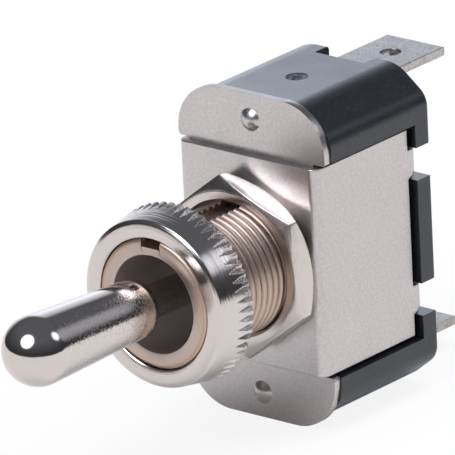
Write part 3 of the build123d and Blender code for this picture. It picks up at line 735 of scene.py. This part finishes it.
def tinned_brass(colour):
    """Dull tin plate over brass strip, blanked and folded.

    It gives the eye a soft cloudy grey with fine dark scuffs. The real scuffs are as thin
    as a hair and are drawn coarser to show.
    """
    cloud_size = 1.2 * MM
    scuff_size, scuff_depth, scuff_shade = 0.25 * MM, 0.012 * MM, 0.55
    material, tree = new_material("Dull tin on brass")
    place = add(tree, "ShaderNodeTexCoord", output="Object")
    cloud = add(tree, "ShaderNodeTexNoise", {
        "Vector": place, "Scale": 1 / cloud_size, "Detail": 5.0, "Roughness": 0.65}, "Fac")
    scuff = add(tree, "ShaderNodeTexNoise", {
        "Vector": place, "Scale": 1 / scuff_size, "Detail": 3.0, "Roughness": 0.65}, "Fac")
    scuffed = add(tree, "ShaderNodeMapRange", {
        "Value": scuff, "From Min": 0.45, "From Max": 0.7}, "Result")
    shade = add(tree, "ShaderNodeMix", {
        "Factor": scuffed, "A": (*colour, 1.0),
        "B": (*(scuff_shade * c for c in colour), 1.0)}, "Result", data_type="RGBA")
    rough = add(tree, "ShaderNodeMapRange", {
        "Value": cloud, "From Min": 0.3, "From Max": 0.7, "To Min": 0.3, "To Max": 0.4}, "Result")
    normal = add(tree, "ShaderNodeBump", {"Height": scuff, "Distance": scuff_depth}, "Normal")
    shader = add(tree, "ShaderNodeBsdfPrincipled", {
        "Base Color": shade, "Metallic": 1.0, "Roughness": rough, "Normal": normal}, "BSDF")
    add(tree, "ShaderNodeOutputMaterial", {"Surface": shader})
    return material


def inner_metal(name, code, roughness, grain):
    """Metal of an inner part, with a light grain in millimetres from rolling, drawing or heading.

    It gives the eye a clean metal whose gloss varies a little over the grain.
    """
    material, tree = new_material(name)
    fine = add(tree, "ShaderNodeTexNoise", {
        "Vector": add(tree, "ShaderNodeTexCoord", output="Object"), "Scale": 1 / (grain * MM),
        "Detail": 3.0}, "Fac")
    rough = add(tree, "ShaderNodeMapRange", {
        "Value": fine, "From Min": 0.3, "From Max": 0.7,
        "To Min": 0.8 * roughness, "To Max": 1.2 * roughness}, "Result")
    normal = add(tree, "ShaderNodeBump", {"Height": fine, "Distance": 0.003 * MM}, "Normal")
    shader = add(tree, "ShaderNodeBsdfPrincipled", {
        "Base Color": (*linear(code), 1.0), "Metallic": 1.0, "Roughness": rough, "Normal": normal}, "BSDF")
    add(tree, "ShaderNodeOutputMaterial", {"Surface": shader})
    return material


def inner_insulation(name, code, roughness, grain, depth):
    """Nylon or fibre of an inner part, with its moulded or pressed grain in millimetres.

    It gives the eye an even, dull colour that the grain makes slightly rough.
    """
    material, tree = new_material(name)
    fine = add(tree, "ShaderNodeTexNoise", {
        "Vector": add(tree, "ShaderNodeTexCoord", output="Object"), "Scale": 1 / (grain * MM),
        "Detail": 4.0, "Roughness": 0.6}, "Fac")
    normal = add(tree, "ShaderNodeBump", {"Height": fine, "Distance": depth * MM}, "Normal")
    shader = add(tree, "ShaderNodeBsdfPrincipled", {
        "Base Color": (*linear(code), 1.0), "Roughness": roughness, "Normal": normal}, "BSDF")
    add(tree, "ShaderNodeOutputMaterial", {"Surface": shader})
    return material


def dress_node(node, material):
    """Give a CAD node that keeps its own mesh a finished material."""
    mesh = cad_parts[node].data
    mesh.materials.clear()
    mesh.materials.append(material)


# ---- Pieces


class TOGGLE_OT_bushing(Operator):
    """Cut the bushing's thread and keyway"""

    bl_idname = "toggle_switch.bushing"
    bl_label = "Threaded Bushing"

    def execute(self, context):
        settings = context.scene.toggle_switch
        points, quads = skin(bushing_grid(settings.bushing), wrap_rows=True)
        material = threaded_nickel(tuple(settings.colours.worn_nickel))
        piece = make_piece("threaded_bushing", points, quads, material, sharp=radians(40))
        stand_in_for(piece, "bushing", "housing")
        return {"FINISHED"}


class TOGGLE_OT_ring_nut(Operator):
    """Turn and knurl the ring nut"""

    bl_idname = "toggle_switch.ring_nut"
    bl_label = "Knurled Ring Nut"

    def execute(self, context):
        settings = context.scene.toggle_switch
        points, quads = skin(ring_nut_grid(settings.nuts), wrap_rows=True)
        material = knurled_nickel(tuple(settings.colours.bright_nickel))
        piece = make_piece("knurled_ring_nut", points, quads, material, sharp=radians(28))
        stand_in_for(piece, "ring_nut", "panel_ring_nut")
        return {"FINISHED"}


class TOGGLE_OT_hex_nut(Operator):
    """Mill and countersink the hex nut"""

    bl_idname = "toggle_switch.hex_nut"
    bl_label = "Hex Nut"

    def execute(self, context):
        settings = context.scene.toggle_switch
        points, quads = skin(hex_nut_grid(settings.nuts), wrap_rows=True)
        material = milled_nickel(tuple(settings.colours.bright_nickel))
        piece = make_piece("countersunk_hex_nut", points, quads, material, sharp=radians(24))
        stand_in_for(piece, "hex_nut", "panel_hex_nut")
        return {"FINISHED"}


class TOGGLE_OT_lever(Operator):
    """Turn the bat handle lever and wind the spring in its tail"""

    bl_idname = "toggle_switch.lever"
    bl_label = "Bat Handle Lever"

    def execute(self, context):
        colours = context.scene.toggle_switch.colours
        tilt = radians(1.5)
        profile = lever_profile()
        angle = np.linspace(0.0, TURN, 128, endpoint=False)[None, :]
        points, quads = skin(lever_points(profile[:, :1], profile[:, 1:], angle, tilt))
        piece = make_piece("bat_handle", points, quads, buffed_nickel(tuple(colours.bright_nickel)))
        drill_pin_hole(piece)
        stand_in_for(piece, "lever", "toggle_lever")
        # Grey and bright, with fine drawing marks
        steel = inner_metal("Drawn spring steel", "8C8C8E", 0.3, 0.1)
        points, quads = skin(coil_grid(tilt))
        spring = make_piece("coiled_spring", points, quads, steel)
        stand_in_for(spring, "toggle_spring", "toggle_lever")
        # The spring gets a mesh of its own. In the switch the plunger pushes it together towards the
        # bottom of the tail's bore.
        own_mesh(spring)
        dress_node("pivot_pin", steel)
        return {"FINISHED"}


def drill_pin_hole(piece):
    """Cut the pivot pin's hole through the lever's ball: a cylinder along X, from profile and angle."""
    half_length, hole = 5.0, 1.04
    angle = np.linspace(0.0, TURN, 48, endpoint=False)[None, :]
    reach = np.array([-half_length, -half_length, half_length, half_length])[:, None]
    radius = np.array([0.0, hole, hole, 0.0])[:, None]
    tool = np.stack(np.broadcast_arrays(
        reach, -PIVOT_SETBACK + radius * np.cos(angle), radius * np.sin(angle)), axis=-1)
    points, quads = skin(tool)
    cutter = make_piece("pin_drill", points, quads, piece.data.materials[0])
    cut = piece.modifiers.new("Pin hole", "BOOLEAN")
    cut.operation = "DIFFERENCE"
    cut.solver = "EXACT"
    cut.object = cutter
    graph = bpy.context.evaluated_depsgraph_get()
    mesh = bpy.data.meshes.new_from_object(piece.evaluated_get(graph))
    piece.modifiers.clear()
    piece.data = mesh
    bpy.data.objects.remove(cutter)


class TOGGLE_OT_sheet_metal(Operator):
    """Finish the folded strap and the cover plate"""

    bl_idname = "toggle_switch.sheet_metal"
    bl_label = "Strap and Cover Plate"

    def execute(self, context):
        material = satin_nickel(tuple(context.scene.toggle_switch.colours.satin_nickel))
        strap = softened_copy("strap", material, 0.08)
        stand_in_for(strap, "strap", "housing")
        plate = softened_copy("cover_plate", material, 0.07)
        stand_in_for(plate, "cover_plate", "housing")
        return {"FINISHED"}


class TOGGLE_OT_base(Operator):
    """Finish the moulded base"""

    bl_idname = "toggle_switch.base"
    bl_label = "Moulded Base"

    def execute(self, context):
        material = moulded_phenolic(tuple(context.scene.toggle_switch.colours.phenolic))
        base = softened_copy("base", material, 0.22)
        stand_in_for(base, "base", "housing")
        return {"FINISHED"}


class TOGGLE_OT_terminals(Operator):
    """Finish the two blade terminals"""

    bl_idname = "toggle_switch.terminals"
    bl_label = "Blade Terminals"

    def execute(self, context):
        material = tinned_brass(tuple(context.scene.toggle_switch.colours.tin))
        for node in ("upper_terminal", "lower_terminal"):
            blade = softened_copy(node, material, 0.06)
            stand_in_for(blade, node, "housing")
        return {"FINISHED"}


class TOGGLE_OT_inner_works(Operator):
    """Finish the contacts, rocker, rivets, plunger and insulator"""

    bl_idname = "toggle_switch.inner_works"
    bl_label = "Inner Works"

    def execute(self, context):
        # Yellow and bright, from the heading die
        brass = inner_metal("Headed brass", "C6A664", 0.3, 0.15)
        # Warm brown with the rolls' faint grain
        bronze = inner_metal("Rolled phosphor bronze", "B98A5E", 0.32, 0.2)
        # White and soft, a little duller than the brass
        silver = inner_metal("Fine silver contact", "DAD9D6", 0.35, 0.1)
        # Cream, smooth from the mould
        nylon = inner_insulation("Natural moulded nylon", "DCD7C8", 0.45, 0.2, 0.003)
        # Grey and matt, with the pressed sheet's fibres
        fibre = inner_insulation("Grey vulcanised fibre", "5E5A57", 0.7, 0.25, 0.01)
        for node in ("upper_terminal_rivet", "lower_terminal_rivet", "cradle_rivet", "stop_rivet"):
            dress_node(node, brass)
        for node in ("fixed_contact", "moving_contact"):
            dress_node(node, silver)
        for node in ("contact_rocker", "rocker_cradle"):
            dress_node(node, bronze)
        dress_node("plunger", nylon)
        dress_node("insulator", fibre)
        return {"FINISHED"}


# ---- Studio

# Each soft lamp: azimuth and elevation of its centre, the angles from there within which it is
# full and beyond which it is dark, all in degrees, and its brightness
SOFT_LAMPS = (
    ((127, 38), 7, 15, 1.7),
    ((150, 24), 3, 17, 0.4),
    ((-3, 43), 13, 23, 6.0),
    ((-147, 20), 4, 18, 0.65),
)


def heading(azimuth, elevation):
    """Unit vector to a place round the object: azimuth 0 is -Y and 90 is +X, in degrees."""
    a, e = radians(azimuth), radians(elevation)
    return Vector((sin(a) * cos(e), -cos(a) * cos(e), sin(e)))


def glow(tree, way, centre, inner, outer, level, fade="SMOOTHSTEP"):
    """Brightness that is full within one angle of a centre and fades to none at another."""
    near = add(tree, "ShaderNodeVectorMath", {
        0: way, 1: heading(*centre)}, "Value", operation="DOT_PRODUCT")
    return add(tree, "ShaderNodeMapRange", {
        "Value": near, "From Min": cos(radians(outer)), "From Max": cos(radians(inner)),
        "To Min": 0.0, "To Max": level}, "Result", interpolation_type=fade)


def light_room():
    """Dim room: white card below the horizon, a screen behind on the left and four soft lamps.

    The screen's brightness is the square of a straight fade, and its height is squeezed.
    """
    card_edge, wall_edge = -0.05, -0.03
    screen_centre, screen_inner, screen_outer = (-138, 4), 8, 45
    screen_level, squeeze = 1.2, 1.7
    wall_foot, wall_top, foot_level, top_level = 0.1, 0.7, 0.05, 0.15
    cool_light, pale_card = (0.88, 0.95, 1.08, 1.0), (0.95, 0.95, 0.95, 1.0)
    world = bpy.data.worlds.new("Studio room")
    world.use_nodes = True
    tree = world.node_tree
    tree.nodes.clear()
    way = add(tree, "ShaderNodeTexCoord", output="Generated")
    height = add(tree, "ShaderNodeSeparateXYZ", {"Vector": way}, "Z")
    above = add(tree, "ShaderNodeMapRange", {
        "Value": height, "From Min": card_edge, "From Max": wall_edge}, "Result")
    squeezed = add(tree, "ShaderNodeVectorMath", {
        0: way, 1: (1.0, 1.0, squeeze)}, "Vector", operation="MULTIPLY")
    flat = add(tree, "ShaderNodeVectorMath", {0: squeezed}, "Vector", operation="NORMALIZE")
    screen = glow(tree, flat, screen_centre, screen_inner, screen_outer, 1.0, "LINEAR")
    level = add(tree, "ShaderNodeMath", {0: screen, 1: screen}, "Value", operation="MULTIPLY")
    level = add(tree, "ShaderNodeMath", {0: level, 1: screen_level}, "Value", operation="MULTIPLY")
    for centre, inner, outer, strength in SOFT_LAMPS:
        lamp = glow(tree, way, centre, inner, outer, strength)
        level = add(tree, "ShaderNodeMath", {0: level, 1: lamp}, "Value", operation="ADD")
    wall = add(tree, "ShaderNodeMapRange", {
        "Value": height, "From Min": wall_foot, "From Max": wall_top,
        "To Min": foot_level, "To Max": top_level}, "Result")
    level = add(tree, "ShaderNodeMath", {0: level, 1: wall}, "Value", operation="ADD")
    room = add(tree, "ShaderNodeBackground", {"Color": cool_light, "Strength": level}, "Background")
    card = add(tree, "ShaderNodeBackground", {"Color": pale_card, "Strength": 1.0}, "Background")
    mirrored = add(tree, "ShaderNodeMixShader", {0: above, 1: card, 2: room}, "Shader")
    white = add(tree, "ShaderNodeBackground", {
        "Color": (*linear("FFFFFF"), 1.0), "Strength": 1.0}, "Background")
    seen = add(tree, "ShaderNodeLightPath", output="Is Camera Ray")
    mixed = add(tree, "ShaderNodeMixShader", {0: seen, 1: mirrored, 2: white}, "Shader")
    add(tree, "ShaderNodeOutputWorld", {"Surface": mixed})
    bpy.context.scene.world = world


def add_overhead_lamp():
    """Large lamp above that lights the card and the mouldings, and that the metal doesn't mirror."""
    size, distance, level = 1.2, 1.5, 1.25
    way = heading(150, 72)
    lamp = bpy.data.lights.new("Overhead lamp", "AREA")
    lamp.shape = "SQUARE"
    lamp.size = size
    lamp.energy = pi * pi * size * size * level
    lamp.color = (1.0, 0.96, 0.9)
    place = bpy.data.objects.new("Overhead lamp", lamp)
    place.location = way * distance
    place.rotation_euler = (-way).to_track_quat("-Z", "Y").to_euler()
    place.visible_camera = False
    place.visible_glossy = False
    bpy.context.scene.collection.objects.link(place)


def table_material():
    """Matt white card: an even pale floor that takes the object's soft shadow.

    The camera sees it nearly pure white, and mirrors see more of the shadow.
    """
    camera_share, mirror_share = 0.88, 0.15
    material, tree = new_material("White card")
    path = add(tree, "ShaderNodeLightPath")
    mirrored = add(tree, "ShaderNodeMath", {
        0: path.outputs["Is Glossy Ray"], 1: path.outputs["Is Transmission Ray"]},
        "Value", operation="MAXIMUM")
    dimmed = add(tree, "ShaderNodeMath", {0: mirrored, 1: mirror_share}, "Value", operation="MULTIPLY")
    share = add(tree, "ShaderNodeMath", {
        0: path.outputs["Is Camera Ray"], 1: camera_share, 2: dimmed},
        "Value", operation="MULTIPLY_ADD")
    card = add(tree, "ShaderNodeBsdfDiffuse", {"Color": (*linear("EFEFEF"), 1.0)}, "BSDF")
    white = add(tree, "ShaderNodeEmission", {
        "Color": (*linear("FFFFFF"), 1.0), "Strength": 1.0}, "Emission")
    mixed = add(tree, "ShaderNodeMixShader", {0: share, 1: card, 2: white}, "Shader")
    add(tree, "ShaderNodeOutputMaterial", {"Surface": mixed})
    return material


def place_camera():
    """Long lens from the front right, a metre away, rolled slightly as the photograph is."""
    eye, roll = (0.61407, -0.72884, 0.34921), radians(-2.764)
    back = heading(40.228, 19.963)
    right = Vector((0.763477, 0.645835, 0.0))
    up = back.cross(right)
    across = right * cos(roll) + up * sin(roll)
    upward = up * cos(roll) - right * sin(roll)
    camera = bpy.data.cameras.new("Photograph")
    camera.sensor_width = 36.0
    camera.lens = 921.53
    camera.clip_start = 0.05
    camera.clip_end = 20.0
    place = bpy.data.objects.new("Photograph", camera)
    turn = Matrix((across, upward, back)).transposed()
    place.matrix_world = Matrix.Translation(eye) @ turn.to_4x4()
    bpy.context.scene.collection.objects.link(place)
    bpy.context.scene.camera = place


class TOGGLE_OT_studio(Operator):
    """Lay the table, light the room and place the camera"""

    bl_idname = "toggle_switch.studio"
    bl_label = "Studio"

    def execute(self, context):
        gap, half = 0.02 * MM, 390 * MM
        level = CAD_BOX[0].z - gap
        mesh = bpy.data.meshes.new("table")
        corners = [(x, y, level) for x, y in ((-half, -half), (half, -half), (half, half), (-half, half))]
        mesh.from_pydata(corners, [], [(0, 1, 2, 3)])
        mesh.materials.append(table_material())
        table = bpy.data.objects.new("table", mesh)
        context.scene.collection.objects.link(table)
        light_room()
        add_overhead_lamp()
        place_camera()
        context.scene.view_settings.view_transform = "Standard"
        return {"FINISHED"}


OPERATORS = (
    TOGGLE_OT_bushing,
    TOGGLE_OT_ring_nut,
    TOGGLE_OT_hex_nut,
    TOGGLE_OT_lever,
    TOGGLE_OT_sheet_metal,
    TOGGLE_OT_base,
    TOGGLE_OT_terminals,
    TOGGLE_OT_inner_works,
    TOGGLE_OT_studio,
)


class TOGGLE_PT_pieces(Panel):
    """Sidebar panel with every piece of the switch"""

    bl_idname = "TOGGLE_PT_pieces"
    bl_label = "Toggle Switch"
    bl_space_type = "VIEW_3D"
    bl_region_type = "UI"
    bl_category = "Toggle Switch"

    def draw(self, context):
        for operator in OPERATORS:
            self.layout.operator(operator.bl_idname)


CLASSES = (BushingSizes, NutSizes, FinishColours, ToggleSwitchSettings, *OPERATORS, TOGGLE_PT_pieces)


def register():
    """Register the classes and hang the settings on the scene."""
    for item in CLASSES:
        bpy.utils.register_class(item)
    bpy.types.Scene.toggle_switch = PointerProperty(type=ToggleSwitchSettings)


def unregister():
    """Take the settings and classes away again."""
    del bpy.types.Scene.toggle_switch
    for item in reversed(CLASSES):
        bpy.utils.unregister_class(item)


def main():
    """Build every piece and the studio."""
    register()
    bpy.ops.toggle_switch.bushing()
    bpy.ops.toggle_switch.ring_nut()
    bpy.ops.toggle_switch.hex_nut()
    bpy.ops.toggle_switch.lever()
    bpy.ops.toggle_switch.sheet_metal()
    bpy.ops.toggle_switch.base()
    bpy.ops.toggle_switch.terminals()
    bpy.ops.toggle_switch.inner_works()
    bpy.ops.toggle_switch.studio()


if __name__ == "__main__":
    main()
